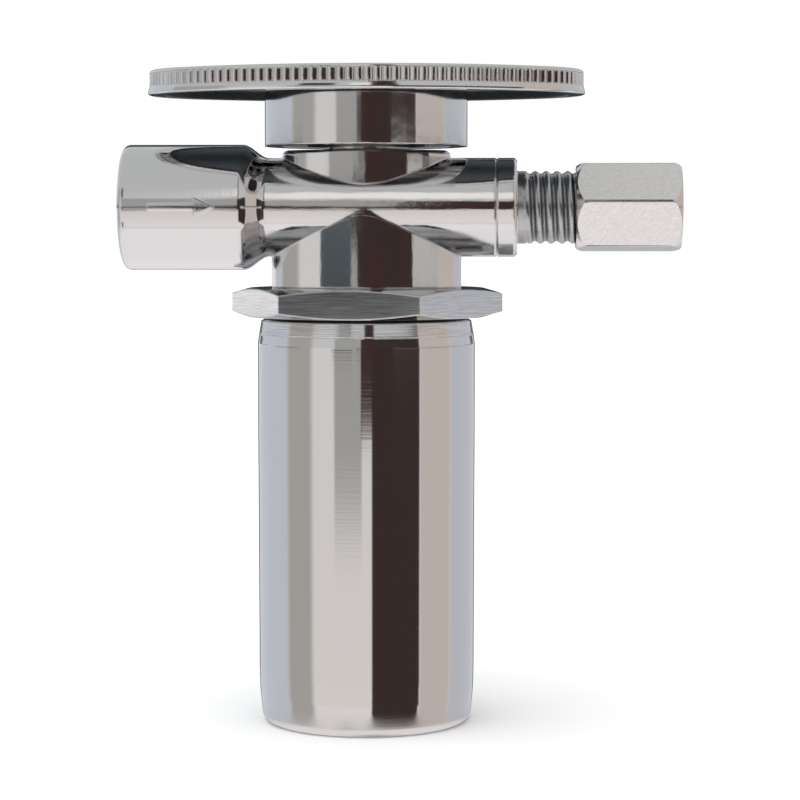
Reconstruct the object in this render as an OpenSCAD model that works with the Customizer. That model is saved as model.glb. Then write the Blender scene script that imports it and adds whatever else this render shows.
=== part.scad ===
// Straight shut-off valve with a water hammer arrestor hanging under it.
// Units are millimetres. +Z is up along the stem, the inlet cup points to -X and the
// compression outlet to +X. The origin is the centre of the arrestor's flat bottom.
// The valve is shown closed, with the compression nut run on by hand.

/* [Barrel and inlet cup] */
// Outside diameter of the horizontal barrel
barrel_d = 15.1; // [15:0.1:17]
// Distance from the stem axis to the mouth of the inlet cup
inlet_reach = 37.2; // [36:0.1:46]
// Outside diameter of the inlet cup
cup_d = 19.2; // [18.4:0.1:22]
// Bore of the inlet cup, for half-inch copper tube
cup_bore_d = 15.96; // [14:0.01:16.4]
// Depth of the inlet cup's bore
cup_depth = 12.9; // [9:0.1:14.5]
// Outside length of the inlet cup, up to its sloping shoulder
cup_length = 18.3; // [16:0.1:20]
// Length of the sloping shoulder between the cup and the barrel
shoulder_length = 4; // [2:0.1:4.5]
// Rounding of the cup's outer rim
cup_rim_round = 1; // [0.3:0.1:1.3]
// Bore of the waterway behind the inlet cup
inlet_bore_d = 9; // [7:0.1:9.6]
// Length of the raised flow arrow on the cup
arrow_length = 10; // [6:0.5:13]
// Width of the flow arrow's head
arrow_width = 2.8; // [2:0.1:4]
// How far the flow arrow stands out of the cup
arrow_height = 0.25; // [0.1:0.05:0.5]

/* [Outlet] */
// Distance from the stem axis to the barrel's outlet face
outlet_reach = 23.1; // [20.5:0.1:28]
// Distance from the outlet face back to the turned line on the barrel
line_setback = 3.1; // [1.5:0.1:5]
// Depth of the turned line on the barrel
line_depth = 0.2; // [0.1:0.05:0.4]
// Outside diameter of the compression thread
thread_d = 11.06; // [10.6:0.02:11.4]
// Depth of the compression thread
thread_depth = 0.37; // [0.2:0.01:0.45]
// Pitch of the compression thread
thread_pitch = 1.65; // [1.4:0.01:1.9]
// Number of threads on the spigot
thread_count = 8; // [7:1:9]
// Length of the plain land in front of the first thread
thread_land = 1.3; // [0.8:0.1:2]
// Bore of the tube socket, for quarter-inch tube
tube_socket_d = 6.5; // [6.4:0.02:6.9]
// Depth of the tube socket behind the flare for the sleeve
tube_socket_depth = 6; // [3:0.1:8]
// Bore of the outlet waterway
outlet_bore_d = 4.8; // [3.6:0.1:5.4]

/* [Compression nut and sleeve] */
// Width of the compression nut across its flats
nut_af = 12.7; // [12.6:0.02:14.5]
// Length of the compression nut
nut_length = 16; // [15.4:0.1:19]
// Length of the thread that the nut covers as it stands
nut_engagement = 5.5; // [4.5:0.1:7]
// Length of the chamfer at the nut's corners
nut_chamfer = 1.25; // [0.6:0.05:1.6]
// Angle that the nut's front corner stands above the barrel axis
nut_angle = 6.9; // [0:0.1:30]
// Thickness of the nut's end wall round the tube hole
nut_end_wall = 3.4; // [2.5:0.1:4.5]
// Turns from hand tight to fully tight
nut_turns = 2; // [1:0.5:2]
// Outside diameter of the compression sleeve
sleeve_d = 8.4; // [8:0.1:8.8]
// Length of the compression sleeve
sleeve_length = 5.4; // [4.8:0.1:6.2]
// Length of the sleeve's tapered ends
sleeve_taper = 1.8; // [1:0.1:2.2]
// How much narrower the sleeve's ends are than its middle
sleeve_taper_d = 1.2; // [0.8:0.1:1.4]

/* [Bosses of the valve body] */
// Width of the upper boss along the barrel
upper_boss_w = 25.8; // [22:0.1:29]
// Front to back depth of the upper boss
upper_boss_d = 13.4; // [13.3:0.1:15]
// Height of the upper boss above the barrel axis
upper_boss_rise = 8.7; // [8.4:0.1:12]
// Width of the lower boss along the barrel
lower_boss_w = 29.2; // [25:0.1:30.2]
// Front to back depth of the lower boss
lower_boss_d = 15.1; // [14.6:0.1:17]
// Distance from the barrel axis down to the foot of the lower boss
lower_boss_drop = 12.3; // [12.2:0.1:16]
// Outside diameter of the packing neck on the upper boss
neck_d = 13; // [12.8:0.1:13.2]
// Height of the packing neck
neck_h = 3.2; // [2.8:0.1:3.4]

/* [Seat and stem] */
// Height of the seat's face above the barrel axis, negative when below
seat_level = -2.4; // [-2.8:0.1:-2.4]
// Bore of the seat
seat_bore_d = 6; // [5:0.1:6.4]
// Width of the raised seat ring
seat_ring_w = 0.9; // [0.5:0.1:1.1]
// Thickness of the wall that carries the seat
seat_wall = 1.4; // [1:0.1:1.8]
// Height of the raised seat ring
seat_ring_h = 0.4; // [0.2:0.1:0.6]
// Bore of the stem's threaded guide in the body
guide_bore_d = 9.9; // [9.6:0.1:10.2]
// Bore of the stuffing box
stuffing_bore_d = 11.2; // [10.9:0.1:11.4]
// Depth of the stuffing box
stuffing_depth = 2.2; // [2:0.1:2.4]
// Diameter of the stem where it runs through the packing
stem_d = 6.6; // [6.2:0.1:7]
// Pitch of the stem thread
stem_pitch = 1.25; // [1:0.05:1.3]
// Turns from closed to fully open
stem_turns = 3; // [2:0.5:3]
// Width of the square that drives the handle
square_af = 4.5; // [4:0.1:4.5]
// Diameter of the rubber seat washer
seat_washer_d = 7.8; // [7.4:0.1:8]
// Thickness of the rubber seat washer
seat_washer_h = 1.6; // [1.3:0.1:1.8]
// Thickness of the washer holder's plate
holder_h = 1.6; // [1.3:0.1:1.8]
// Thickness of the washer holder's rim round the seat washer
holder_rim = 0.4; // [0.3:0.05:0.45]
// Diameter of the washer holder's stud
stud_d = 3; // [2.6:0.1:3.4]
// Length of the washer holder's stud
stud_length = 3.2; // [2.4:0.1:3.2]
// Diameter of the washer screw's head
washer_screw_head_d = 4.2; // [3.6:0.1:4.8]
// Diameter of the washer screw's shank
washer_screw_d = 2; // [1.8:0.1:2.2]

/* [Packing] */
// Thickness of the loose washer under the packing
gland_washer_h = 0.6; // [0.4:0.1:0.8]
// Thickness of the packing ring
packing_h = 1.4; // [1.2:0.1:1.6]
// Thickness of the follower that presses the packing
follower_h = 0.8; // [0.7:0.1:1]
// Width of the packing nut across its flats
packing_nut_af = 15.6; // [15.2:0.1:17]
// Thickness of the packing nut's top
packing_nut_top = 1.4; // [1.1:0.1:1.5]
// Length of the packing nut's skirt over the neck
packing_nut_skirt = 3.2; // [2:0.1:3.3]

/* [Handle] */
// Length of the oval handle
handle_w = 66.8; // [56:0.2:76]
// Front to back depth of the oval handle
handle_d = 40.4; // [38:0.2:48]
// Radius of the oval's two ends
handle_end_r = 14.2; // [13:0.1:16]
// Height of the handle's rim
rim_h = 3.7; // [3.4:0.1:5]
// Height of the plain lip under the flutes
lip_h = 1.2; // [0.5:0.1:1.4]
// Height of the plain edge above the flutes
top_edge_h = 0.5; // [0.3:0.1:0.8]
// Number of flutes round the rim
flutes = 124; // [80:2:140]
// Depth of the flutes
flute_depth = 0.35; // [0.2:0.05:0.5]
// Share of each flute's pitch that is left flat on top of the ridge
ridge_share = 0.3; // [0.2:0.05:0.6]
// Thickness of the rim's wall round the dished underside
rim_wall = 2.4; // [1.8:0.1:3.5]
// Depth of the dished underside
dish_depth = 1.3; // [0.6:0.1:1.5]
// Diameter of the handle's hub
hub_d = 31; // [28:0.1:33]
// Height of the hub under the rim
hub_h = 7.8; // [7.4:0.1:9]
// Thickness of the hub's skirt
hub_wall = 2.6; // [1.6:0.1:4]
// Gap between the hub and the upper boss with the valve closed
hub_gap = 0.6; // [0.5:0.1:1]
// Diameter of the boss inside the hub that takes the stem's square
drive_boss_d = 10.4; // [9:0.1:12]
// Diameter of the screw recess in the handle's top
recess_d = 9.2; // [8.8:0.1:12]
// Depth of the screw recess
recess_depth = 2.3; // [2.2:0.1:2.4]
// Diameter of the handle screw's head
screw_head_d = 6.8; // [6:0.1:7.2]
// Diameter of the handle screw's shank
screw_shank_d = 2.8; // [2.4:0.1:2.9]
// Length of the handle screw's shank below the head
screw_length = 8.6; // [7:0.1:9.5]

/* [Arrestor end fitting] */
// Width of the hexagon across its flats
hex_af = 36.4; // [34.2:0.1:38]
// Height of the hexagon
hex_h = 4.4; // [3.4:0.1:7]
// Height of the chamfer at the hexagon's corners
hex_chamfer = 0.85; // [0.4:0.05:1.2]
// Angle that the hexagon is turned from facing the front
hex_angle = 4.9; // [0:0.1:30]
// Height of the narrow groove under the hexagon
neck_groove_h = 0.35; // [0.2:0.05:0.6]
// Height of the sloping shoulder between the groove and the chamber
collar_h = 2.3; // [1.5:0.1:4]
// How much narrower the shoulder's top is than the chamber
collar_taper = 1.1; // [0.6:0.1:2]
// Length of the spigot inside the chamber
spigot_length = 6.6; // [5.6:0.1:9]
// Diameter of the nipple that screws into the valve body
nipple_d = 11.5; // [10.6:0.1:11.6]
// Length of the nipple
nipple_length = 4; // [3.6:0.1:4.2]
// Bore through the nipple
nipple_bore_d = 6.5; // [5:0.1:6.8]

/* [Arrestor chamber and piston] */
// Outside diameter of the chamber
chamber_d = 33.4; // [31:0.1:34]
// Height of the chamber up to its seam with the end fitting
chamber_h = 59.9; // [50:0.1:80]
// Thickness of the chamber's side wall
chamber_wall = 1.4; // [1:0.1:1.8]
// Thickness of the chamber's bottom
chamber_floor = 2; // [1.4:0.1:3]
// Rounding of the chamber's bottom edge
chamber_round = 1.7; // [0.8:0.1:2.2]
// Height of the gentle taper above the bottom edge
base_taper_h = 8; // [4:0.5:14]
// How much narrower the chamber is at its foot
base_taper = 1; // [0.4:0.1:1.6]
// Height of the piston
piston_h = 14; // [12:0.1:18]
// Thickness of the O-rings on the piston
piston_ring_section = 2; // [1.6:0.1:2.4]
// Diameter of the hollow in the piston's underside
piston_hollow_d = 21.2; // [14:0.2:23]
// Depth of the hollow in the piston's underside
piston_hollow_h = 9; // [5:0.5:10]
// Distance from the piston's ends to the middle of its ring grooves
ring_setback = 3.6; // [3:0.1:4.5]
// Gap between the piston and the end fitting at rest
piston_gap = 0.3; // [0.2:0.1:0.6]

/* [Hidden] */

$fn = 96;
// Curves drawn as short straight steps use this many
boss_sides = 72;
arc_steps = 6;

// Radial clearance of a part that turns or slides in another
run_clear = 0.06;
// Radial clearance between mating threads and between fixed parts
fit_clear = 0.05;
// Gap left between faces that meet but move apart
face_gap = 0.1;
// Overlap that makes a cut pass right through a face
over = 1;

// Levels, from the floor up
seam_z = chamber_h;
collar_top_z = seam_z + collar_h;
hex_bottom_z = collar_top_z + neck_groove_h;
hex_top_z = hex_bottom_z + hex_h;
axis_z = hex_top_z + lower_boss_drop;
boss_top_z = axis_z + upper_boss_rise;
neck_top_z = boss_top_z + neck_h;
seat_z = axis_z + seat_level;
seat_floor_z = seat_z - seat_ring_h;
lower_cavity_top_z = seat_floor_z - seat_wall;
stuffing_floor_z = neck_top_z - stuffing_depth;
washer_z = seat_z + fit_clear;
holder_z = washer_z + seat_washer_h;
stem_foot_z = holder_z + holder_h + face_gap;
lift = stem_pitch * stem_turns;
follower_z = stuffing_floor_z + gland_washer_h + packing_h;
packing_roof_z = follower_z + follower_h;
packing_nut_top_z = packing_roof_z + packing_nut_top;
hub_bottom_z = boss_top_z + hub_gap;
rim_bottom_z = hub_bottom_z + hub_h;
handle_top_z = rim_bottom_z + rim_h;
recess_floor_z = handle_top_z - recess_depth;
drive_web = 1.2;
boss_gap = 0.4;
hub_roof_h = 1.1;
lock_washer_h = 0.5;
square_roof_z = recess_floor_z - drive_web;
square_top_z = square_roof_z - face_gap;
drive_boss_z = packing_nut_top_z + boss_gap;
dish_roof_z = rim_bottom_z + dish_depth;
hub_roof_z = dish_roof_z - hub_roof_h;
spigot_foot_z = seam_z - spigot_length;
seal_h = 1;
piston_top_z = spigot_foot_z - piston_gap;

// Places along the barrel
flare_clear = 0.15;
flare_margin = 0.2;
cup_end_x = -inlet_reach + cup_length;
shoulder_end_x = cup_end_x + shoulder_length;
cup_stop_x = -inlet_reach + cup_depth;
inlet_bore_end_x = -9.5;
thread_start_x = outlet_reach + thread_land;
spigot_tip_x = thread_start_x + thread_count * thread_pitch;
nut_x = spigot_tip_x - nut_engagement;
nut_end_x = nut_x + nut_length;
nut_stroke = thread_pitch * nut_turns;
nut_roof_x = nut_end_x - nut_end_wall;
sleeve_end_x = nut_roof_x - face_gap;
sleeve_x = sleeve_end_x - sleeve_length;
flare_depth = max(flare_margin, spigot_tip_x + nut_stroke - sleeve_x + flare_margin);
flare_foot_x = spigot_tip_x - flare_depth;

// Radii
cavity_d = guide_bore_d + 0.5;
stem_thread_d = guide_bore_d - 2 * run_clear;
stem_thread_depth = 0.5;
stem_thread_h = 2.9;
stem_thread_rings = 3;
stem_nose_h = 1.9;
stem_nose_d = stem_thread_d - 2.2;
tap_floor = 0.3;
sleeve_bore_d = tube_socket_d;
sleeve_tip_d = sleeve_d - sleeve_taper_d;
nut_thread_bore_d = thread_d + 2 * run_clear;
tube_hole_d = tube_socket_d + 0.2;
chamber_bore_d = chamber_d - 2 * chamber_wall;
collar_foot_d = chamber_d - 0.4;
lower_cavity_d = nipple_d - 1.9;
port_d = 4.4;
port_slope = 22.7;
port_rise = 0.4;
port_setback = 1.5;

// Points of an arc, from one angle to the other
function arc(cx, cy, r, from, to, steps = arc_steps) =
    [for (i = [0 : steps])
        let (a = from + (to - from) * i / steps)
        [cx + r * cos(a), cy + r * sin(a)]];

// Points of an ellipse
function ellipse(w, d, sides) =
    [for (i = [0 : sides - 1])
        let (a = 360 * i / sides)
        [w / 2 * cos(a), d / 2 * sin(a)]];

// Ridges of a thread as rings: radius against distance along the thread
function thread_rings(start, pitch, count, r, depth) =
    [for (i = [0 : count - 1], k = [0 : 3])
        [r - depth * [0, 1, 1, 0][k], start + pitch * (i + [0, 0.3, 0.5, 0.8][k])]];

// The four-arc oval of the handle, with its end arcs, its side arcs and where they meet
end_centre_x = handle_w / 2 - handle_end_r;
side_r = (pow(handle_w / 2, 2) + pow(handle_d / 2, 2) - handle_w * handle_end_r)
    / (handle_d - 2 * handle_end_r);
side_drop = side_r - handle_d / 2;
meet_angle = atan2(side_drop, end_centre_x);
end_arc = handle_end_r * 2 * meet_angle * PI / 180;
side_arc = side_r * (180 - 2 * meet_angle) * PI / 180;
half_edge = end_arc + side_arc;

// Point on the oval at a distance along its edge, moved inward by an inset
function half_oval(s, inset) =
    s < end_arc
    ? let (a = -meet_angle + s / handle_end_r * 180 / PI)
        [end_centre_x + (handle_end_r - inset) * cos(a), (handle_end_r - inset) * sin(a)]
    : let (a = meet_angle + (s - end_arc) / side_r * 180 / PI)
        [(side_r - inset) * cos(a), (side_r - inset) * sin(a) - side_drop];
function oval_point(s, inset) =
    s < half_edge ? half_oval(s, inset) : -half_oval(s - half_edge, inset);

// Puts what was drawn along Z onto the barrel axis, at a distance from the stem axis
module along_barrel(x = 0) {
    translate([x, 0, axis_z]) rotate([0, 90, 0]) children();
}

// Hexagon with its corners turned off at one end or at both
module chamfered_hex(af, h, chamfer, foot = true, top = true) {
    flat_r = af / 2 - 0.15;
    corner_r = af / 2 / cos(30) + 0.01;
    intersection() {
        cylinder(h = h, r = af / 2 / cos(30), $fn = 6);
        rotate_extrude()
            polygon([[0, 0], [foot ? flat_r : corner_r, 0], [corner_r, foot ? chamfer : 0],
                     [corner_r, top ? h - chamfer : h], [top ? flat_r : corner_r, h], [0, h]]);
    }
}

// Ring of round section, centred on the Z axis
module o_ring(middle_r, section_d, z) {
    translate([0, 0, z]) rotate_extrude() translate([middle_r, 0]) circle(d = section_d, $fn = 32);
}

// Flat washer
module washer(outer_d, inner_d, h, z) {
    translate([0, 0, z]) difference() {
        cylinder(h = h, d = outer_d);
        translate([0, 0, -over]) cylinder(h = h + 2 * over, d = inner_d);
    }
}

// Outline of the turned barrel: radius against distance along it
module barrel_profile() {
    cup_r = cup_d / 2;
    barrel_r = barrel_d / 2;
    thread_r = thread_d / 2;
    line_x = outlet_reach - line_setback;
    polygon(concat(
        [[0, -inlet_reach]],
        arc(cup_r - cup_rim_round, -inlet_reach + cup_rim_round, cup_rim_round, -90, 0),
        [[cup_r, cup_end_x],
         [cup_r - (cup_r - barrel_r) * 0.07, cup_end_x + shoulder_length * 0.2],
         [cup_r - (cup_r - barrel_r) * 0.93, cup_end_x + shoulder_length * 0.78],
         [barrel_r, shoulder_end_x],
         [barrel_r, line_x - line_depth], [barrel_r - line_depth, line_x],
         [barrel_r, line_x + line_depth],
         [barrel_r, outlet_reach - 0.4], [barrel_r - 0.4, outlet_reach],
         [thread_r, outlet_reach]],
        thread_rings(thread_start_x, thread_pitch, thread_count, thread_r, thread_depth),
        [[thread_r - thread_depth, spigot_tip_x], [0, spigot_tip_x]]));
}

// Ways that are drilled into the body along the barrel
module barrel_bores() {
    along_barrel(-inlet_reach - over) cylinder(h = cup_depth + over, d = cup_bore_d);
    along_barrel(cup_stop_x - over) cylinder(h = inlet_bore_end_x - cup_stop_x + over, d = inlet_bore_d);
    along_barrel() cylinder(h = spigot_tip_x + over, d = outlet_bore_d);
    along_barrel(flare_foot_x - tube_socket_depth)
        cylinder(h = tube_socket_depth + over, d = tube_socket_d);
    along_barrel(flare_foot_x) rotate_extrude()
        polygon([[0, 0], [sleeve_tip_d / 2 + flare_clear, 0],
                 [sleeve_d / 2 + flare_clear, sleeve_taper],
                 [sleeve_d / 2 + flare_clear, max(flare_depth, sleeve_taper) + over],
                 [0, max(flare_depth, sleeve_taper) + over]]);
}

// Ways that are drilled into the body along the stem axis, from both ends
module stem_bores() {
    translate([0, 0, stuffing_floor_z]) cylinder(h = stuffing_depth + over, d = stuffing_bore_d);
    translate([0, 0, seat_z]) cylinder(h = stuffing_floor_z - seat_z + over, d = guide_bore_d);
    difference() {
        translate([0, 0, seat_floor_z])
            cylinder(h = holder_z + holder_h + lift / 2 - seat_floor_z, d = cavity_d);
        translate([0, 0, seat_floor_z - over])
            cylinder(h = seat_ring_h + over, d = seat_bore_d + 2 * seat_ring_w);
    }
    translate([0, 0, lower_cavity_top_z - over])
        cylinder(h = seat_z - lower_cavity_top_z + 2 * over, d = seat_bore_d);
    translate([0, 0, hex_top_z]) cylinder(h = lower_cavity_top_z - hex_top_z, d = lower_cavity_d);
    translate([0, 0, hex_top_z - over])
        cylinder(h = nipple_length + face_gap + over, d = nipple_d + 2 * fit_clear);
}

// Slanting port that leads the inlet under the seat
module inlet_port() {
    start_x = inlet_bore_end_x - port_setback;
    translate([start_x, 0, lower_cavity_top_z + port_rise]) rotate([0, 90 + port_slope, 0])
        cylinder(h = -start_x / cos(port_slope), d = port_d);
}

// Plain arrow that shows the way of the flow, standing on the front of the cup
module flow_arrow() {
    arrow_x = -inlet_reach + (cup_length - arrow_length) / 2 + 0.6;
    head = arrow_width * 1.1;
    intersection() {
        translate([arrow_x, 0, axis_z]) rotate([90, 0, 0]) linear_extrude(cup_d / 2 + over)
            polygon([[0, -arrow_width / 6], [arrow_length - head, -arrow_width / 6],
                     [arrow_length - head, -arrow_width / 2], [arrow_length, 0],
                     [arrow_length - head, arrow_width / 2],
                     [arrow_length - head, arrow_width / 6], [0, arrow_width / 6]]);
        along_barrel(-inlet_reach) difference() {
            cylinder(h = cup_length, d = cup_d + 2 * arrow_height);
            translate([0, 0, -over]) cylinder(h = cup_length + 2 * over, d = cup_d - 0.4);
        }
    }
}

// One brass forging, turned and bored: cup, barrel, two bosses, neck and outlet spigot
module valve_body() {
    color("gainsboro") {
        difference() {
            union() {
                along_barrel() rotate_extrude() barrel_profile();
                translate([0, 0, axis_z]) linear_extrude(upper_boss_rise)
                    polygon(ellipse(upper_boss_w, upper_boss_d, boss_sides));
                translate([0, 0, hex_top_z]) linear_extrude(lower_boss_drop)
                    polygon(ellipse(lower_boss_w, lower_boss_d, boss_sides));
                translate([0, 0, boss_top_z - over]) cylinder(h = neck_h + over, d = neck_d);
                flow_arrow();
            }
            barrel_bores();
            stem_bores();
            inlet_port();
        }
    }
}

// Rubber washer that closes on the seat
module seat_washer() {
    color("dimgray") washer(seat_washer_d, washer_screw_d + 0.5, seat_washer_h, washer_z);
}

// Brass cup that carries the seat washer on a stud, free to swivel in the stem
module washer_holder() {
    pocket_r = seat_washer_d / 2 + fit_clear;
    holder_r = pocket_r + holder_rim;
    color("goldenrod") translate([0, 0, holder_z]) difference() {
        rotate_extrude()
            polygon([[0, 0], [pocket_r, 0], [pocket_r, -seat_washer_h / 2],
                     [holder_r, -seat_washer_h / 2], [holder_r, holder_h],
                     [stud_d / 2, holder_h], [stud_d / 2, holder_h + stud_length],
                     [0, holder_h + stud_length]]);
        translate([0, 0, -over])
            cylinder(h = holder_h - tap_floor + over, d = washer_screw_d + 2 * fit_clear);
    }
}

// Slotted brass screw that holds the seat washer in its cup
module washer_screw() {
    head_h = 0.9;
    slot_w = 0.5;
    color("gold") translate([0, 0, washer_z]) difference() {
        union() {
            translate([0, 0, -head_h]) cylinder(h = head_h, d = washer_screw_head_d);
            cylinder(h = seat_washer_h + holder_h - tap_floor - face_gap, d = washer_screw_d);
        }
        translate([-washer_screw_head_d, -slot_w / 2, -head_h - over])
            cube([2 * washer_screw_head_d, slot_w, over + head_h * 0.45]);
    }
}

// Stem with its lifting thread, the plain shank in the packing and the driving square
module stem() {
    thread_r = stem_thread_d / 2;
    thread_foot_z = stem_foot_z + stem_nose_h;
    ring_pitch = stem_thread_h / stem_thread_rings;
    lead_in = 0.3;
    color("goldenrod") difference() {
        union() {
            rotate_extrude()
                polygon(concat(
                    [[0, stem_foot_z], [stem_nose_d / 2, stem_foot_z], [stem_nose_d / 2, thread_foot_z]],
                    thread_rings(thread_foot_z, ring_pitch, stem_thread_rings, thread_r,
                                 stem_thread_depth),
                    [[thread_r - stem_thread_depth, thread_foot_z + stem_thread_h],
                     [stem_d / 2, thread_foot_z + stem_thread_h],
                     [stem_d / 2, drive_boss_z - lead_in], [square_af / 2, drive_boss_z],
                     [0, drive_boss_z]]));
            translate([-square_af / 2, -square_af / 2, drive_boss_z - lead_in])
                cube([square_af, square_af, square_top_z - drive_boss_z + lead_in]);
        }
        translate([0, 0, stem_foot_z - over])
            cylinder(h = stud_length + over + face_gap, d = stud_d + 2 * run_clear);
        translate([0, 0, recess_floor_z - screw_length])
            cylinder(h = screw_length, d = screw_shank_d + 2 * fit_clear);
    }
}

// Loose brass washer on the floor of the stuffing box
module gland_washer() {
    color("goldenrod")
        washer(stuffing_bore_d - 2 * fit_clear, stem_d + 2 * run_clear, gland_washer_h,
               stuffing_floor_z);
}

// Packing ring that seals the stem
module packing_ring() {
    color("black")
        washer(stuffing_bore_d - 2 * fit_clear, stem_d + 2 * run_clear, packing_h,
               stuffing_floor_z + gland_washer_h);
}

// Follower that the packing nut presses onto the packing
module packing_follower() {
    color("goldenrod")
        washer(stuffing_bore_d - 2 * fit_clear, stem_d + 2 * run_clear, follower_h, follower_z);
}

// Hexagonal cap nut over the neck, hidden inside the handle's hub
module packing_nut() {
    foot_z = packing_roof_z - packing_nut_skirt;
    color("silver") difference() {
        translate([0, 0, foot_z])
            chamfered_hex(packing_nut_af, packing_nut_skirt + packing_nut_top, 0.7, foot = false);
        translate([0, 0, foot_z - over])
            cylinder(h = packing_nut_skirt + over, d = neck_d + 2 * fit_clear);
        translate([0, 0, foot_z]) cylinder(h = packing_nut_skirt + packing_nut_top + over,
                                           d = stem_d + 2 * run_clear);
    }
}

// Oval of the handle as a flat outline, plain or with flutes
module plain_oval(inset) {
    sides = 120;
    polygon([for (i = [0 : sides - 1]) oval_point(2 * half_edge * i / sides, inset)]);
}

module fluted_oval() {
    flank = (1 - ridge_share) * 0.36;
    edges = [0, ridge_share, ridge_share + flank, 1 - flank];
    polygon([for (i = [0 : flutes - 1], k = [0 : 3])
        oval_point(2 * half_edge * (i + edges[k]) / flutes, flute_depth * [0, 0, 1, 1][k])]);
}

// Cast handle: fluted oval rim, dished underside and a round hub over the packing nut
module handle() {
    hub_bore_d = hub_d - 2 * hub_wall;
    color("lightgray") difference() {
        union() {
            difference() {
                union() {
                    translate([0, 0, rim_bottom_z]) linear_extrude(lip_h) plain_oval(0);
                    translate([0, 0, rim_bottom_z + lip_h])
                        linear_extrude(rim_h - lip_h - top_edge_h) fluted_oval();
                    translate([0, 0, handle_top_z - top_edge_h])
                        linear_extrude(top_edge_h) plain_oval(flute_depth);
                }
                translate([0, 0, rim_bottom_z - over])
                    linear_extrude(dish_depth + over) plain_oval(rim_wall);
            }
            translate([0, 0, hub_bottom_z]) difference() {
                cylinder(h = dish_roof_z - hub_bottom_z + 0.2, d = hub_d);
                translate([0, 0, -over])
                    cylinder(h = hub_roof_z - hub_bottom_z + over, d = hub_bore_d);
            }
            translate([0, 0, drive_boss_z])
                cylinder(h = dish_roof_z - drive_boss_z + 0.2, d = drive_boss_d);
        }
        translate([0, 0, recess_floor_z]) cylinder(h = recess_depth + over, d = recess_d);
        translate([0, 0, drive_boss_z]) cylinder(h = handle_top_z - drive_boss_z,
                                                 d = screw_shank_d + 2 * fit_clear);
        translate([-square_af / 2 - fit_clear, -square_af / 2 - fit_clear, drive_boss_z - over])
            cube([square_af + 2 * fit_clear, square_af + 2 * fit_clear,
                  square_roof_z - drive_boss_z + over]);
    }
}

// Spring washer under the head of the handle screw
module lock_washer() {
    split = 0.4;
    split_angle = 20;
    color("silver") difference() {
        washer(screw_head_d - 0.6, screw_shank_d + 0.2, lock_washer_h, recess_floor_z);
        translate([0, -split / 2, recess_floor_z - over]) rotate([0, 0, split_angle])
            cube([screw_head_d, split, lock_washer_h + 2 * over]);
    }
}

// Pan-head screw with a cross recess that holds the handle on the stem
module handle_screw() {
    head_h = 1.6;
    head_round = 1.2;
    cross_depth = 1;
    cross_w = 0.7;
    head_z = recess_floor_z + lock_washer_h;
    head_r = screw_head_d / 2;
    color("silver") difference() {
        union() {
            translate([0, 0, head_z]) rotate_extrude()
                polygon(concat([[0, 0], [head_r, 0]],
                               arc(head_r - head_round, head_h - head_round, head_round, 0, 90),
                               [[0, head_h]]));
            translate([0, 0, head_z - screw_length]) cylinder(h = screw_length, d = screw_shank_d);
        }
        for (turn = [0, 90])
            translate([0, 0, head_z + head_h - cross_depth]) rotate([0, 0, turn])
                translate([-head_r / 2, -cross_w / 2, 0])
                    cube([head_r, cross_w, cross_depth + over]);
    }
}

// Brass sleeve that the nut presses round the supply tube
module compression_sleeve() {
    sleeve_r = sleeve_d / 2;
    color("gold") along_barrel(sleeve_x) rotate_extrude()
        polygon([[sleeve_bore_d / 2, 0], [sleeve_tip_d / 2, 0], [sleeve_r, sleeve_taper],
                 [sleeve_r, sleeve_length - sleeve_taper], [sleeve_tip_d / 2, sleeve_length],
                 [sleeve_bore_d / 2, sleeve_length]]);
}

// Hexagonal compression nut with a cone inside that seats on the sleeve
module compression_nut() {
    cone_x = nut_roof_x - sleeve_taper - nut_x;
    runout = 1.3;
    color("silver") along_barrel(nut_x) difference() {
        rotate([0, 0, 30 - nut_angle]) chamfered_hex(nut_af, nut_length, nut_chamfer);
        rotate_extrude()
            polygon([[0, -over], [nut_thread_bore_d / 2, -over],
                     [nut_thread_bore_d / 2, cone_x - runout],
                     [sleeve_d / 2 + flare_clear, cone_x],
                     [sleeve_tip_d / 2 + flare_clear, nut_roof_x - nut_x],
                     [0, nut_roof_x - nut_x]]);
        cylinder(h = nut_length + over, d = tube_hole_d);
    }
}

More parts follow.
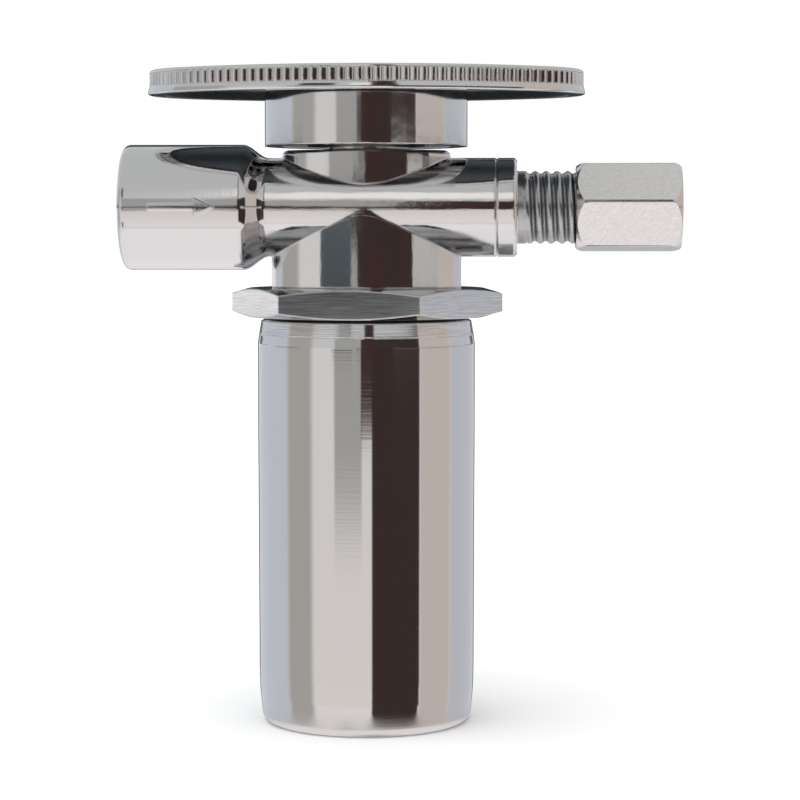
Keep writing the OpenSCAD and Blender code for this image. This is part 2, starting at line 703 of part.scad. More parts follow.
// End fitting of the arrestor: nipple, hexagon, shoulder and the spigot in the chamber
module end_fitting() {
    spigot_r = chamber_bore_d / 2 - fit_clear;
    ring_z = seam_z - spigot_length / 2;
    groove_h = piston_ring_section + 0.6;
    groove_r = spigot_r - piston_ring_section;
    collar_r = chamber_d / 2 - collar_taper / 2;
    seal_top_z = hex_top_z + seal_h + 2 * face_gap;
    seal_r = nipple_d / 2 - seal_h - face_gap;
    edge = 0.5;
    mouth_r = 9;
    mouth_h = 5;
    color("silver") difference() {
        union() {
            translate([0, 0, hex_bottom_z]) rotate([0, 0, -hex_angle])
                chamfered_hex(hex_af, hex_h, hex_chamfer);
            rotate_extrude()
                polygon([[0, spigot_foot_z], [spigot_r - edge, spigot_foot_z],
                         [spigot_r, spigot_foot_z + edge], [spigot_r, ring_z - groove_h / 2],
                         [groove_r, ring_z - groove_h / 2], [groove_r, ring_z + groove_h / 2],
                         [spigot_r, ring_z + groove_h / 2], [spigot_r, seam_z],
                         [collar_foot_d / 2, seam_z],
                         [collar_r, collar_top_z - edge / 2],
                         [collar_r - edge, collar_top_z],
                         [collar_r - edge, hex_bottom_z + over],
                         [seal_r, hex_bottom_z + over],
                         [seal_r, seal_top_z], [nipple_d / 2, seal_top_z],
                         [nipple_d / 2, hex_top_z + nipple_length - edge],
                         [nipple_d / 2 - edge, hex_top_z + nipple_length],
                         [0, hex_top_z + nipple_length]]);
        }
        rotate_extrude()
            polygon([[0, spigot_foot_z - over], [mouth_r, spigot_foot_z - over],
                     [mouth_r, spigot_foot_z], [nipple_bore_d / 2, spigot_foot_z + mouth_h],
                     [nipple_bore_d / 2, hex_top_z + nipple_length + over],
                     [0, hex_top_z + nipple_length + over]]);
    }
}

// O-ring at the root of the nipple, squeezed in the valve body
module fitting_o_ring() {
    color("black") o_ring(nipple_d / 2 - seal_h / 2, seal_h, hex_top_z + seal_h / 2 + face_gap);
}

// Deep-drawn chamber, closed at the bottom, that the arrestor's piston slides in
module arrestor_chamber() {
    r = chamber_d / 2;
    foot_r = r - base_taper / 2;
    bore_r = chamber_bore_d / 2;
    inner_round = 1.5;
    rim_taper_h = 1.5;
    color("gainsboro") rotate_extrude()
        polygon(concat(
            [[0, 0]],
            arc(foot_r - chamber_round, chamber_round, chamber_round, -90, 0),
            [[foot_r + base_taper * 0.3, base_taper_h * 0.6],
             [foot_r + base_taper * 0.4, base_taper_h],
             [r, seam_z * 0.75], [r, seam_z - rim_taper_h], [collar_foot_d / 2, seam_z],
             [bore_r, seam_z]],
            arc(bore_r - inner_round, chamber_floor + inner_round, inner_round, 0, -90),
            [[0, chamber_floor]]));
}

// O-ring that seals the end fitting in the chamber
module chamber_o_ring() {
    color("black")
        o_ring(chamber_bore_d / 2 - fit_clear - piston_ring_section / 2, piston_ring_section - 0.1,
               seam_z - spigot_length / 2);
}

// Heights of the two ring grooves below the piston's top
ring_1_drop = ring_setback;
ring_2_drop = piston_h - ring_setback;

// Piston that water pushes down against the trapped air
module piston() {
    r = chamber_bore_d / 2 - 0.1;
    groove_r = r - piston_ring_section;
    groove_h = piston_ring_section + 0.6;
    edge = 0.6;
    dish_r = r * 0.6;
    dish_h = 1.2;
    hollow_r = piston_hollow_d / 2;
    color("ivory") translate([0, 0, piston_top_z]) rotate_extrude()
        polygon(concat(
            [[0, -dish_h], [dish_r - dish_h, -dish_h], [dish_r, 0], [r - edge, 0], [r, -edge]],
            [for (drop = [ring_1_drop, ring_2_drop], k = [0 : 3])
                [[r, groove_r, groove_r, r][k], -drop + groove_h / 2 * [1, 1, -1, -1][k]]],
            [[r, -piston_h + edge], [r - edge, -piston_h], [hollow_r, -piston_h],
             [hollow_r - 1, -piston_h + piston_hollow_h - edge],
             [0, -piston_h + piston_hollow_h]]));
}

// The piston's O-rings
module piston_ring(drop) {
    color("black")
        o_ring(chamber_bore_d / 2 - fit_clear - piston_ring_section / 2, piston_ring_section - 0.1,
               piston_top_z - drop);
}

module piston_ring_upper() {
    piston_ring(ring_1_drop);
}

module piston_ring_lower() {
    piston_ring(ring_2_drop);
}

valve_body();
washer_screw();
seat_washer();
washer_holder();
stem();
gland_washer();
packing_ring();
packing_follower();
packing_nut();
handle();
lock_washer();
handle_screw();
compression_sleeve();
compression_nut();
end_fitting();
fitting_o_ring();
arrestor_chamber();
chamber_o_ring();
piston();
piston_ring_upper();
piston_ring_lower();
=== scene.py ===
import math

import bmesh
import bpy
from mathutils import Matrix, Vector


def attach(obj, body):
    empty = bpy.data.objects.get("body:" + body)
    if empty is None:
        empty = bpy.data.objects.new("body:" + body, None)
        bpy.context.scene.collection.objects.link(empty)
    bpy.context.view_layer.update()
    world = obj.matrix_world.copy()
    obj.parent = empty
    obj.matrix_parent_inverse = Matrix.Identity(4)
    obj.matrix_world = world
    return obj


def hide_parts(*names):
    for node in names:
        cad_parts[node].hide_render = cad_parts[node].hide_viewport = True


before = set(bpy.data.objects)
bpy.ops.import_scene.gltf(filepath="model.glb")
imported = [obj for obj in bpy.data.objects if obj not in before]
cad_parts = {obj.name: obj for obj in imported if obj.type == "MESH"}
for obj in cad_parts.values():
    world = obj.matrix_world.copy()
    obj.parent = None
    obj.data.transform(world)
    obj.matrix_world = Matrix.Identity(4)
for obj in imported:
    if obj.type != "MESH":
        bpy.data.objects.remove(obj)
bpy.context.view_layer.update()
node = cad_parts


# The camera stands a little right of the front and just below the handle, as in a
# catalogue picture. It looks down by about four degrees.
view_azimuth = math.radians(3.4)
view_distance = 0.385
heading = math.radians(2.63)
pitch = math.radians(3.98)
camera = bpy.data.objects.new("camera", bpy.data.cameras.new("camera"))
bpy.context.scene.collection.objects.link(camera)
camera.data.sensor_width = 36
camera.data.lens = 112.5
camera.data.clip_start = 0.01
camera.location = (view_distance * math.sin(view_azimuth),
                   -view_distance * math.cos(view_azimuth), 0.0764)
camera.rotation_euler = (math.pi / 2 - pitch, 0, heading)
bpy.context.scene.camera = camera
bpy.context.scene.view_settings.view_transform = "Standard"


# One shader socket. Sums written on it become Math nodes, so that a pattern reads
# as a plain expression; node() adds any other kind of node.
class Wire:
    def __init__(self, tree, socket=None):
        self.tree = tree
        self.socket = socket

    def node(self, kind, settings=None, inputs=None, out=0):
        new = self.tree.nodes.new("ShaderNode" + kind)
        for name, value in (settings or {}).items():
            if name == "stops":
                self.set_stops(new.color_ramp.elements, value)
            else:
                setattr(new, name, value)
        for key, value in (inputs or {}).items():
            if isinstance(value, Wire):
                self.tree.links.new(value.socket, new.inputs[key])
            else:
                new.inputs[key].default_value = value
        return Wire(self.tree, new.outputs[out] if len(new.outputs) else None)

    @staticmethod
    def set_stops(elements, stops):
        while len(elements) < len(stops):
            elements.new(1)
        for element, (place, colour) in zip(elements, stops):
            element.position = place
            element.color = (*colour, 1)

    def math(self, operation, *values):
        return self.node("Math", {"operation": operation}, dict(enumerate(values)))

    def __add__(self, other):
        return self.math("ADD", self, other)

    __radd__ = __add__

    def __sub__(self, other):
        return self.math("SUBTRACT", self, other)

    def __rsub__(self, other):
        return self.math("SUBTRACT", other, self)

    def __mul__(self, other):
        return self.math("MULTIPLY", self, other)

    __rmul__ = __mul__

    def __truediv__(self, other):
        return self.math("DIVIDE", self, other)

    def colour_mix(self, first, second):
        return self.node("Mix", {"data_type": "RGBA"}, {0: self, 6: first, 7: second}, 2)


# The studio round the part: a pale tent with grey and black cards, hung so that the
# plating shows the photo's streaks. Directions are turned to the side that the front
# faces.
world = bpy.data.worlds.new("studio")
bpy.context.scene.world = world
world.use_nodes = True
world.node_tree.nodes.clear()
sky = Wire(world.node_tree)
direction = sky.node("TexCoord")
across = sky.node("VectorMath", {"operation": "DOT_PRODUCT"},
                  {0: direction, 1: (math.cos(view_azimuth), math.sin(view_azimuth), 0)}, 1)
toward = sky.node("VectorMath", {"operation": "DOT_PRODUCT"},
                  {0: direction, 1: (math.sin(view_azimuth), -math.cos(view_azimuth), 0)}, 1)
height = sky.node("SeparateXYZ", {}, {0: direction}, 2)
turn = sky.math("DEGREES", sky.math("ARCTAN2", across, toward))
rise = sky.math("DEGREES", sky.math("ARCSINE", height))


def step_up(value, middle, soft):
    """0 below a value, 1 above it, with a soft change."""
    return value.node("MapRange", {"interpolation_type": "SMOOTHSTEP"},
                      {0: value, 1: middle - soft, 2: middle + soft, 3: 0.0, 4: 1.0})


def card(behind, left, right, low, high, colour, soft=1.5):
    """A card hung in front of what is behind it, its edges in degrees."""
    mask = step_up(turn, left, soft) * (1 - step_up(turn, right, soft)) * (
        step_up(rise, low, soft) * (1 - step_up(rise, high, soft)))
    return mask.colour_mix(behind, (*colour, 1))


height_share = rise / 180 + 0.5
tent = height_share.node("ValToRGB", {"stops": [
    (0.0, (1.22, 1.16, 1.17)), (0.28, (1.22, 1.16, 1.17)), (0.292, (0.95, 0.92, 0.92)),
    (0.305, (1.15, 1.09, 1.07)), (0.44, (1.02, 0.95, 0.92)), (0.50, (0.95, 0.93, 0.92)),
    (0.58, (0.80, 0.80, 0.80)), (0.68, (0.72, 0.73, 0.72)), (1.0, (0.70, 0.72, 0.72))]},
    {0: height_share})

# Each card: its left, right, low and high edge in degrees, its colour, its edge's softness.
for left, right, low, high, colour, soft in (
        (-190, -92, -25, 40, (0.76, 0.79, 0.86), 3),
        (-92, -60, -25, 25, (0.56, 0.53, 0.50), 4),
        (-34, -5, -7, 16, (0.52, 0.51, 0.50), 1.5),
        (-160, -120, -2.3, -0.3, (1.15, 1.12, 1.12), 0.3),
        (-37, -14.8, -2.4, 0.6, (0.10, 0.12, 0.135), 0.25),
        (-37, -14.8, -2.6, -1.45, (0.085, 0.085, 0.09), 0.1),
        (-10.8, 8, -2.4, 0.6, (0.05, 0.03, 0.03), 0.25),
        (-10.6, 8, 1.7, 3.4, (0.06, 0.035, 0.035), 0.25),
        (-31, -16.5, -36, -26, (0.2, 0.2, 0.2), 2),
        (-31, -16.5, 17, 34, (0.08, 0.08, 0.08), 1.5),
        (-10.5, 5, 20, 34, (1.25, 1.20, 1.18), 1.5),
        (58, 100, -28, 40, (0.78, 0.68, 0.63), 4),
        (100, 190, -25, 40, (0.72, 0.73, 0.78), 3),
        (-6, 8, -4.8, 14, (0.07, 0.035, 0.035), 0.7),
        (-14.8, 8, -0.4, 1.1, (0.06, 0.04, 0.04), 0.25),
        (5.5, 57.5, -26, 15, (0.06, 0.04, 0.036), 0.8),
        (-2.2, 8, 14, 62, (0.06, 0.035, 0.035), 0.5),
        (3, 25, 64, 86, (0.86, 0.84, 0.83), 1.5),
        (28, 60, -1.9, 1.7, (0.72, 0.69, 0.66), 0.3),
        (46, 190, 0.1, 1.6, (0.18, 0.18, 0.17), 0.3),
        (-190, -76, 0.1, 1.6, (0.18, 0.19, 0.19), 0.3)):
    tent = card(tent, left, right, low, high, colour, soft)

# A dark cloth hangs behind the part and a dark board lies under its back half.
back = sky.math("ABSOLUTE", turn)
behind_part = step_up(back, 164, 3) * step_up(rise, -12, 3) * (1 - step_up(rise, 30, 5))
tent = behind_part.colour_mix(tent, (0.038, 0.048, 0.053, 1))
under_part = (step_up(across, -0.02, 0.01) * (1 - step_up(across, 0.08, 0.01))
              * step_up(rise, -84, 1.5) * (1 - step_up(rise, -30, 5))
              * (1 - step_up(toward, 0, 0.02)))
tent = under_part.colour_mix(tent, (0.10, 0.11, 0.11, 1))
seen = sky.node("LightPath")
backdrop = seen.colour_mix(tent, (1, 1, 1, 1))
sky.node("OutputWorld", {}, {0: sky.node("Background", {}, {0: backdrop, 1: 1.0})})


# Plain pale floor under the part. It lights the part softly, but the plating shows
# the tent in its place, as on a raised glass table.
floor_mesh = bpy.data.meshes.new("floor")
shape = bmesh.new()
bmesh.ops.create_grid(shape, x_segments=1, y_segments=1, size=6)
shape.to_mesh(floor_mesh)
shape.free()
floor = bpy.data.objects.new("floor", floor_mesh)
bpy.context.scene.collection.objects.link(floor)
floor_paint = bpy.data.materials.new("floor_paint")
floor_paint.use_nodes = True
floor_shader = floor_paint.node_tree.nodes["Principled BSDF"]
floor_shader.inputs["Base Color"].default_value = (0.92, 0.92, 0.92, 1)
floor_shader.inputs["Roughness"].default_value = 0.9
floor_mesh.materials.append(floor_paint)
floor.visible_glossy = False

# One broad overhead light fills in what the tent leaves.
lamp = bpy.data.lights.new("overhead", "SUN")
lamp.energy = 2.2
lamp.angle = math.radians(70)
overhead = bpy.data.objects.new("overhead", lamp)
bpy.context.scene.collection.objects.link(overhead)
overhead.rotation_euler = (math.radians(14), math.radians(-8), 0)
overhead.visible_glossy = False


# The valve body is one brass forging, turned and bored, then polished by hand and chrome
# plated. The barrel is slightly wavy. It is guessed to be duller beside the upper boss and
# on its low side.
def finish(name, colour, metallic=1.0):
    """New material with its Principled shader, and a Wire that reads the object's coordinates."""
    made = bpy.data.materials.new(name)
    made.use_nodes = True
    shader = made.node_tree.nodes["Principled BSDF"]
    shader.inputs["Base Color"].default_value = (*colour, 1)
    shader.inputs["Metallic"].default_value = metallic
    tree = Wire(made.node_tree)
    place = tree.node("TexCoord", out="Object")
    return made, shader, place


def stretched_noise(place, scale, detail=2.0, rough=0.5):
    """Noise whose size is set along each axis, in waves to the metre."""
    spot = place.node("Mapping", {}, {0: place, 3: scale})
    return place.node("TexNoise", {}, {"Vector": spot, "Scale": 1.0, "Detail": detail,
                                       "Roughness": rough})


def coordinate(place, axis):
    """One of the three coordinates, counted from 0."""
    return place.node("SeparateXYZ", {}, {0: place}, axis)


def between(value, low, high):
    return value.math("GREATER_THAN", value, low) * value.math("LESS_THAN", value, high)


def feed(shader, **sockets):
    """Links wires to the shader's sockets, named with _ for a space."""
    for key, wire in sockets.items():
        shader.id_data.links.new(wire.socket, shader.inputs[key.replace("_", " ")])


def eased(place, shader, height, depth, radius):
    """Edges eased by a small radius, with a height pattern of some depth on top."""
    corner = place.node("Bevel", {"samples": 6}, {"Radius": radius})
    bump = place.node("Bump", {}, {"Height": height, "Distance": depth, "Strength": 1.0,
                                   "Normal": corner})
    feed(shader, Normal=bump)


def dress(names, material):
    """Gives CAD nodes one material in place of their plain one."""
    for name in names:
        slots = node[name].data.materials
        slots.clear()
        slots.append(material)


axis_z, barrel_r, cup_r, outlet_face = 0.07925, 0.00755, 0.0096, 0.0231
shoulder_start, shoulder_length = -0.0189, 0.004
plating, thread_painted_shade = (0.60, 0.60, 0.60), (0.42, 0.43, 0.44)
body_plate, shader, place = finish("body_plate", plating)
along_x, up = coordinate(place, 0), coordinate(place, 2) - axis_z
across_y = coordinate(place, 1)
reach = across_y.math("SQRT", across_y * across_y + up * up)
on_thread = along_x.math("GREATER_THAN", along_x, outlet_face + 0.0001)
on_barrel = reach.math("LESS_THAN", reach, barrel_r + 0.0001)
on_taper = between(along_x, shoulder_start, shoulder_start + shoulder_length)
low_side = up.math("LESS_THAN", up, -0.0035) * on_taper.math("MAXIMUM", on_taper, on_barrel)
beside_boss = up.math("GREATER_THAN", up, 0.003) * on_barrel * between(along_x, -0.0138, 0.0138)
unpolished = low_side.math("MAXIMUM", low_side, beside_boss)
ripple = stretched_noise(place, (260, 900, 900), 3) * (0.05 + on_barrel * 0.95)
brushing = stretched_noise(place, (2600, 2600, 500), 3) * (1 - on_barrel) * 0.16
polish = stretched_noise(place, (2500, 2500, 2500), 2)
# The thread's darker colour is painted shade, standing for the shade in its grooves.
feed(shader, Base_Color=on_thread.colour_mix((*plating, 1), (*thread_painted_shade, 1)),
     Roughness=0.035 + polish * 0.05 + on_thread * 0.2 + unpolished * 0.12)
eased(place, shader, ripple + brushing, 0.00002, 0.0004)


# The forging's own mesh follows the solid, with the soft shoulder, the rounded top of the
# upper boss and the smooth oval bosses that forging dies leave. The outlet's thread is cut
# as a helix in the same brass, and is wound on in place of the solid's rings.
def copy_of(name):
    """Merged copy of a CAD node's mesh, with the normals it was drawn with on its corners."""
    source = node[name].data
    shape = bmesh.new()
    shape.from_mesh(source)
    drawn = shape.loops.layers.float_vector.new("drawn")
    for face, polygon in zip(shape.faces, source.polygons):
        for loop, corner in zip(face.loops, polygon.loop_indices):
            loop[drawn] = source.corner_normals[corner].vector
    bmesh.ops.remove_doubles(shape, verts=shape.verts, dist=1e-6)
    for face in shape.faces:
        face.smooth = True
    return shape, drawn


def add_piece(shape, name, material, body):
    """New piece from a finished bmesh. Corners with no drawn normal get a smooth one."""
    mesh = bpy.data.meshes.new(name)
    shape.to_mesh(mesh)
    shape.free()
    mesh.normals_split_custom_set([item.vector for item in mesh.attributes["drawn"].data])
    mesh.attributes.remove(mesh.attributes["drawn"])
    mesh.materials.append(material)
    piece = bpy.data.objects.new(name, mesh)
    bpy.context.scene.collection.objects.link(piece)
    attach(piece, body)
    return piece


def off_axis(vert):
    return math.hypot(vert.co.y, vert.co.z - axis_z)


lower_boss, upper_boss = (0.0146, 0.00755), (0.0129, 0.0067)
boss_top, top_round, close = 0.08795, 0.0009, 0.00001


def on_shoulder(face):
    """Whether a face lies on the outside of the shoulder between cup and barrel."""
    return min(map(off_axis, face.verts)) > barrel_r - close and all(
        -close < v.co.x - shoulder_start < shoulder_length + close for v in face.verts)


def boss_halves(vert):
    return lower_boss if vert.co.z < axis_z else upper_boss


def on_boss_side(face):
    """Whether an upright face lies on the oval side of a boss."""
    return abs(face.normal.z) < 0.01 and all(
        abs((v.co.x / boss_halves(v)[0]) ** 2 + (v.co.y / boss_halves(v)[1]) ** 2 - 1) < 0.03
        and v.co.z < boss_top + close and off_axis(v) > 0.004 for v in face.verts)


def boss_side(vert):
    """Direction out of the boss's oval side at a corner."""
    half_x, half_y = boss_halves(vert)
    return Vector((vert.co.x / half_x ** 2, vert.co.y / half_y ** 2, 0)).normalized()


def cut_faces(chosen, spots, facing):
    """Cuts the chosen faces of the shape along planes through the spots."""
    for spot in spots:
        faces = [face for face in shape.faces if chosen(face)]
        round_them = dict.fromkeys(part for face in faces for part in (*face.edges, *face.verts))
        bmesh.ops.bisect_plane(shape, geom=faces + list(round_them), dist=1e-6,
                               plane_co=spot, plane_no=facing)


thread_start, spigot_tip, pitch = 0.0244, 0.0376, 0.00165
crest_r, root_r = 0.00553, 0.00516
shape, drawn = copy_of("valve_body")
cut_faces(on_shoulder, [(shoulder_start + shoulder_length * (i + 0.5) / 18, 0, 0)
                        for i in range(18)], (1, 0, 0))
cut_faces(on_boss_side, [(0, 0, boss_top - top_round * share)
                         for share in (0.03, 0.1, 0.2, 0.35, 0.6, 1)], (0, 0, 1))
shoulder = {face for face in shape.faces if on_shoulder(face)}
sides = {face for face in shape.faces if on_boss_side(face)}

# The round along the boss's top is widest at its two ends. rounding holds how far each
# corner's normal tips up, and the shoulder's radius follows a smooth S.
rounding = {}
for vert in {vert for face in sides for vert in face.verts}:
    corner_r = top_round * (0.1 + 0.9 * abs(vert.co.x / upper_boss[0]) ** 1.5)
    rounding[vert] = max(0, 1 - (boss_top - vert.co.z) / corner_r)
    vert.co -= boss_side(vert) * corner_r * (1 - math.sqrt(1 - rounding[vert] ** 2))
for vert in {vert for face in shoulder for vert in face.verts}:
    share = (vert.co.x - shoulder_start) / shoulder_length
    grow = (cup_r - (cup_r - barrel_r) * (3 - 2 * share) * share ** 2) / off_axis(vert)
    vert.co.y *= grow
    vert.co.z = axis_z + (vert.co.z - axis_z) * grow
for edge in shape.edges:
    edge.smooth = edge.calc_face_angle(0) < math.radians(12) or (
        all(face in sides or face in shoulder for face in edge.link_faces))
for face in shape.faces:
    on_rings = (min(v.co.x for v in face.verts) > thread_start - close
                and min(map(off_axis, face.verts)) > root_r - close)
    for loop in face.loops:
        co = loop.vert.co
        if face in sides:
            out = rounding[loop.vert]
            loop[drawn] = boss_side(loop.vert) * math.sqrt(1 - out ** 2) + Vector((0, 0, out))
        elif face in shoulder:
            share = (co.x - shoulder_start) / shoulder_length
            slope = (cup_r - barrel_r) * 6 * share * (1 - share) / shoulder_length
            r = off_axis(loop.vert)
            loop[drawn] = Vector((slope, co.y / r, (co.z - axis_z) / r)).normalized()
        elif on_rings:
            loop[drawn] = (0, 0, 0)
for vert in shape.verts:
    shrink = root_r / max(off_axis(vert), root_r)
    if vert.co.x > thread_start + 0.1 * pitch:
        vert.co.y *= shrink
        vert.co.z = axis_z + (vert.co.z - axis_z) * shrink

# The thread's section: places along it in pitches, and heights from root (0) to crest (1).
section = [(-0.42, -0.05), (-0.14, 0.88), (-0.05, 1), (0.05, 1), (0.14, 0.88), (0.42, -0.05)]
steps_a_turn = 72
steps = int((spigot_tip - thread_start - 0.4 * pitch) / pitch * steps_a_turn)
last, wound = None, []
for i in range(steps + 1):
    swing = math.tau * (i / steps_a_turn - 0.9)
    fade = min(1, (steps - i) / (0.25 * steps_a_turn))
    ring = []
    for along, out in section:
        r = root_r + (crest_r - root_r) * out * (fade if out > 0 else 1)
        ring.append(shape.verts.new((thread_start + pitch * (i / steps_a_turn + along),
                                     -r * math.sin(swing), axis_z + r * math.cos(swing))))
    if last:
        for k in range(len(section)):
            wound.append(shape.faces.new((last[k - 1], last[k], ring[k], ring[k - 1])))
    else:
        wound.append(shape.faces.new(ring))
    last = ring
wound.append(shape.faces.new(reversed(last)))
bmesh.ops.recalc_face_normals(shape, faces=wound)
for face in wound:
    face.smooth = True
threaded_body = add_piece(shape, "threaded_body", body_plate, "valve")
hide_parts("valve_body")


# The arrestor chamber is deep drawn from brass and polished on a lathe, which leaves
# faint rings round it under the plating. The round edge of its foot is polished less.
chamber_plate, shader, place = finish("chamber_plate", plating)
rings = stretched_noise(place, (60, 60, 2400), 2)
level = coordinate(place, 2)
foot = level.node("MapRange", {}, {0: level, 1: 0.001, 2: 0.004, 3: 0.28, 4: 0.0})
feed(shader, Roughness=0.03 + rings * 0.05 + foot)
eased(place, shader, rings, 0.000002, 0.0003)
dress(["arrestor_chamber"], chamber_plate)


# The handle is a polished die casting with a fluted rim. Its hollow underside and the
# inside of its hub are guessed to be dull, and their dark colour is painted shade.
rim_foot, dish_roof, hub_inside_r = 0.09635, 0.09765, 0.0155
dish_painted_shade, hub_painted_shade = (0.12, 0.14, 0.15), (0.50, 0.50, 0.50)
handle_plate, shader, place = finish("handle_plate", plating)
facing = place.node("TexCoord", out="Normal")
flat = place.node("VectorMath", {"operation": "MULTIPLY"}, {0: place, 1: (1, 1, 0)})
outward = place.node("VectorMath", {"operation": "DOT_PRODUCT"}, {0: flat, 1: facing}, 1)
level, tilt = coordinate(place, 2), coordinate(facing, 2)
down = tilt.math("LESS_THAN", tilt, -0.5)
roofs = down * level.math("GREATER_THAN", level, dish_roof - 0.00005)
walls = outward.math("LESS_THAN", outward, -0.003) * (
    level.math("LESS_THAN", level, dish_roof + 0.00005))
dull_painted_shade = roofs.math("MAXIMUM", roofs, walls)
in_hub = flat.node("VectorMath", {"operation": "LENGTH"}, {0: flat}, 1)
in_hub = in_hub.math("LESS_THAN", in_hub, hub_inside_r)
# Painted shade: the dish under the rim is coloured near black, the inside of the hub a darker
# grey.
painted_shade_colour = in_hub.colour_mix((*dish_painted_shade, 1), (*hub_painted_shade, 1))
cast = stretched_noise(place, (300, 300, 300), 2)
grit = stretched_noise(place, (1800, 1800, 1800), 3, 0.6)
bright, dull = 0.05 + cast * 0.05, 0.42 + grit * 0.25
feed(shader, Base_Color=dull_painted_shade.colour_mix((*plating, 1), painted_shade_colour),
     Roughness=bright + dull_painted_shade * (dull - bright))
eased(place, shader, cast + dull_painted_shade * grit, 0.00001, 0.0003)

# The rim's skin carries what a casting die leaves: round flutes with sharp valleys, a bead
# under them and an eased edge above. The solid's own rim is drawn in behind that skin.
half_w, half_d, end_r = 0.0334, 0.0202, 0.0142
flutes, flute_depth, columns = 124, 0.00035, 12
end_x = half_w - end_r
side_r = (half_w ** 2 + half_d ** 2 - 2 * half_w * end_r) / (2 * half_d - 2 * end_r)
side_y = side_r - half_d
meet = math.atan2(side_y, end_x)
end_arc, side_arc = 2 * end_r * meet, side_r * (math.pi - 2 * meet)


def on_oval(share, inset):
    """Point on the handle's four-arc oval, at a share of its edge and moved in by an inset."""
    along = share % 0.5 * 2 * (end_arc + side_arc)
    sign = 1 if share % 1 < 0.5 else -1
    if along < end_arc:
        angle = along / end_r - meet
        x, y = end_x + (end_r - inset) * math.cos(angle), (end_r - inset) * math.sin(angle)
    else:
        angle = meet + (along - end_arc) / side_r
        x, y = (side_r - inset) * math.cos(angle), (side_r - inset) * math.sin(angle) - side_y
    return sign * x, sign * y


def draw_in(vert, inset, limit):
    """Moves a corner that lies within a limit of the oval's edge to an inset from it."""
    x, y = abs(vert.co.x), abs(vert.co.y)
    if abs(math.atan2(y, x - end_x)) < meet:
        centre_x, centre_y, radius = end_x, 0, end_r
    else:
        centre_x, centre_y, radius = 0, -side_y, side_r
    reach = math.hypot(x - centre_x, y - centre_y)
    if radius - reach < limit:
        share = (radius - inset) / reach
        vert.co.x = math.copysign(centre_x + (x - centre_x) * share, vert.co.x)
        vert.co.y = math.copysign(centre_y + (y - centre_y) * share, vert.co.y)


rim_inset, rim_reach = 0.0007, 0.0006
shape, drawn = copy_of("handle")
for vert in shape.verts:
    if vert.co.z > rim_foot - close:
        draw_in(vert, rim_inset, rim_reach)
for face in shape.faces:
    for loop in face.loops:
        loop[drawn] = (0, 0, 0)
for edge in shape.edges:
    edge.smooth = edge.calc_face_angle(0) < math.radians(20)

# Heights above the rim's foot and insets from its edge, in millimetres.
bead = [(0.003, 0.9), (0.003, 0.25), (0.05, 0.12), (0.15, 0.03), (0.27, 0), (0.43, 0.01),
        (0.65, 0.05), (0.95, 0.13), (1.17, 0.22)]
fluted = [(1.2, 0.2), (3.05, 0.2), (3.15, 0.22)]
edge_above = [(3.18, 0.22), (3.35, 0.25), (3.5, 0.32), (3.62, 0.45), (3.697, 0.65), (3.697, 0.9)]
first, last, band = None, None, []
for i in range(flutes * columns + 1):
    valley = flute_depth * (1 - abs(math.cos(math.pi * i / columns)))
    column = first if i == flutes * columns else [
        shape.verts.new((*on_oval(i / columns / flutes, inset / 1000 + valley * (rows is fluted)),
                         rim_foot + z / 1000))
        for rows in (bead, fluted, edge_above) for z, inset in rows]
    first = first or column
    if last:
        for k in range(len(column)):
            band.append(shape.faces.new((last[k - 1], column[k - 1], column[k], last[k])))
    last = column
bmesh.ops.recalc_face_normals(shape, faces=band)
for face in band:
    face.smooth = True
    for edge in face.edges:
        edge.smooth = edge.calc_face_angle(0) < math.radians(30)
fluted_handle = add_piece(shape, "fluted_handle", handle_plate, "handle")
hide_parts("handle")


# The end fitting is turned from hexagon bar and plated. Its flats keep the straight grain
# of the bar. The narrow groove turned under them is painted near black as shade.
groove_foot, groove_top = 0.06215, 0.06254
fitting_plate, shader, place = finish("fitting_plate", (0.58, 0.58, 0.58))
grain = stretched_noise(place, (160, 160, 9000), 4, 0.7)
streak = grain.node("MapRange", {}, {0: grain, 1: 0.35, 2: 0.65, 3: 0.0, 4: 1.0})
groove_painted_shade = between(coordinate(place, 2), groove_foot, groove_top)
metal = streak.colour_mix((0.44, 0.44, 0.44, 1), (0.68, 0.68, 0.68, 1))
# Painted shade: the groove under the hexagon is coloured near black.
feed(shader, Base_Color=groove_painted_shade.colour_mix(metal, (0.03, 0.03, 0.03, 1)),
     Roughness=0.05 + grain * 0.07 + groove_painted_shade * 0.5)
eased(place, shader, grain, 0.000001, 0.0003)
dress(["end_fitting"], fitting_plate)


# The compression nut is cut from hexagon brass bar and has a satin plating, brushed
# aslant. The copy of it carries the narrow round that tumbling leaves along its corners.
nut_plate, shader, place = finish("nut_plate", (0.62, 0.61, 0.60))
blast = stretched_noise(place.node("Mapping", {}, {0: place, 2: (0, math.radians(35), 0)}),
                        (900, 3000, 4500), 4, 0.65)
wear = blast.node("MapRange", {}, {0: blast, 1: 0.3, 2: 0.7, 3: 0.0, 4: 1.0})
feed(shader, Base_Color=wear.colour_mix((0.56, 0.555, 0.55, 1), (0.68, 0.675, 0.66, 1)),
     Roughness=0.07 + blast * 0.14)
eased(place, shader, blast, 0.000006, 0.0001)
shape, drawn = copy_of("compression_nut")
long_corners = [edge for edge in shape.edges
                if abs(edge.verts[0].co.x - edge.verts[1].co.x) > 0.004
                and math.radians(50) < edge.calc_face_angle(0) < math.radians(70)]
rounds = bmesh.ops.bevel(shape, geom=long_corners, offset=0.0003, offset_type="OFFSET",
                         affect="EDGES", segments=3, profile=0.5, material=-1)["faces"]
shape.normal_update()
for face in rounds:
    for loop in face.loops:
        loop[drawn] = face.normal
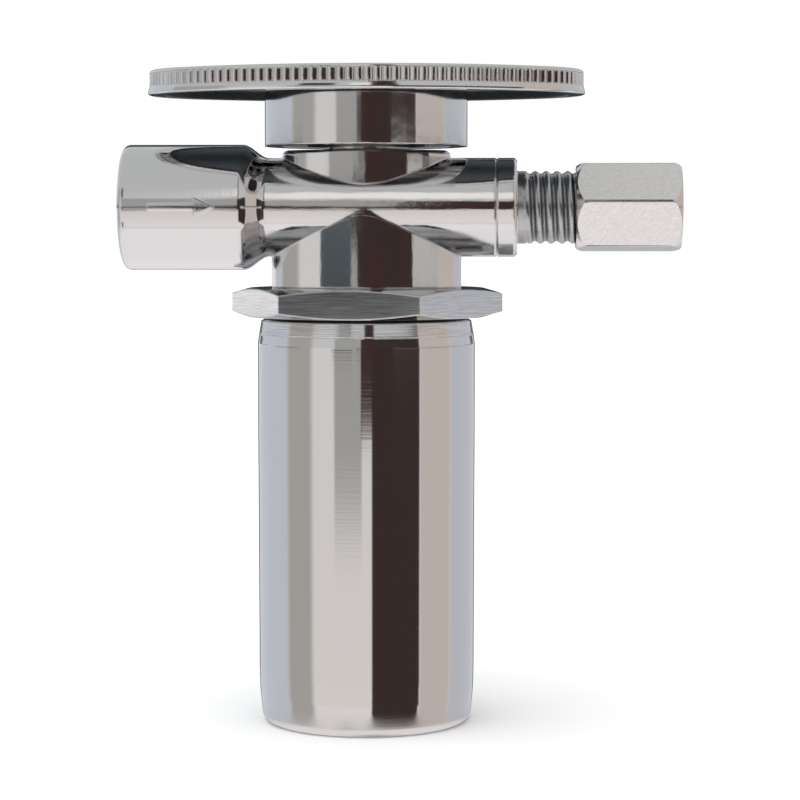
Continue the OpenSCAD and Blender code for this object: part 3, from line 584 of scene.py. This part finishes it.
eased_nut = add_piece(shape, "eased_nut", nut_plate, "nut")
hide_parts("compression_nut")


# The packing nut is cut from brass bar and screws onto the body's neck, inside the hub.
# Its dull finish is a guess, and its dark colour is painted shade for the gap under the hub.
gland_painted_shade, shader, place = finish("gland_painted_shade", (0.16, 0.155, 0.15))
scale = stretched_noise(place, (1500, 1500, 1500), 3)
feed(shader, Roughness=0.5 + scale * 0.2)
eased(place, shader, scale, 0.00001, 0.0003)
dress(["packing_nut"], gland_painted_shade)


# The handle's screw and its spring washer are of zinc-plated steel. The screw draws the
# handle down on the stem's square.
screw_plate, shader, place = finish("screw_plate", (0.70, 0.70, 0.71))
scuff = stretched_noise(place, (3000, 3000, 3000), 3)
feed(shader, Roughness=0.2 + scuff * 0.2)
eased(place, shader, scuff, 0.000006, 0.00015)
dress(["handle_screw", "lock_washer"], screw_plate)


# The stem and the pieces round it are turned from bare brass bar. The sleeve in the
# compression nut is too.
turned_brass, shader, place = finish("turned_brass", (0.80, 0.58, 0.28))
turning = stretched_noise(place, (300, 300, 6000), 3)
feed(shader, Roughness=0.22 + turning * 0.2)
eased(place, shader, turning, 0.000005, 0.0001)
dress(["stem", "washer_holder", "washer_screw", "gland_washer", "packing_follower",
       "compression_sleeve"], turned_brass)


# The seat washer, the packing and the O-rings are moulded from black rubber. They are
# pressed between the pieces that they seal.
black_rubber, shader, place = finish("black_rubber", (0.02, 0.02, 0.02), 0.0)
bloom = stretched_noise(place, (2200, 2200, 2200), 3)
feed(shader, Roughness=0.45 + bloom * 0.25)
eased(place, shader, bloom, 0.00001, 0.0001)
dress(["seat_washer", "packing_ring", "fitting_o_ring", "chamber_o_ring",
       "piston_ring_upper", "piston_ring_lower"], black_rubber)


# The piston is turned from white acetal bar. It slides in the chamber on two O-rings, over
# the trapped air.
acetal, shader, place = finish("acetal", (0.84, 0.82, 0.76), 0.0)
lathe = stretched_noise(place, (200, 200, 5000), 3)
feed(shader, Roughness=0.35 + lathe * 0.2)
eased(place, shader, lathe, 0.000008, 0.0002)
dress(["piston"], acetal)
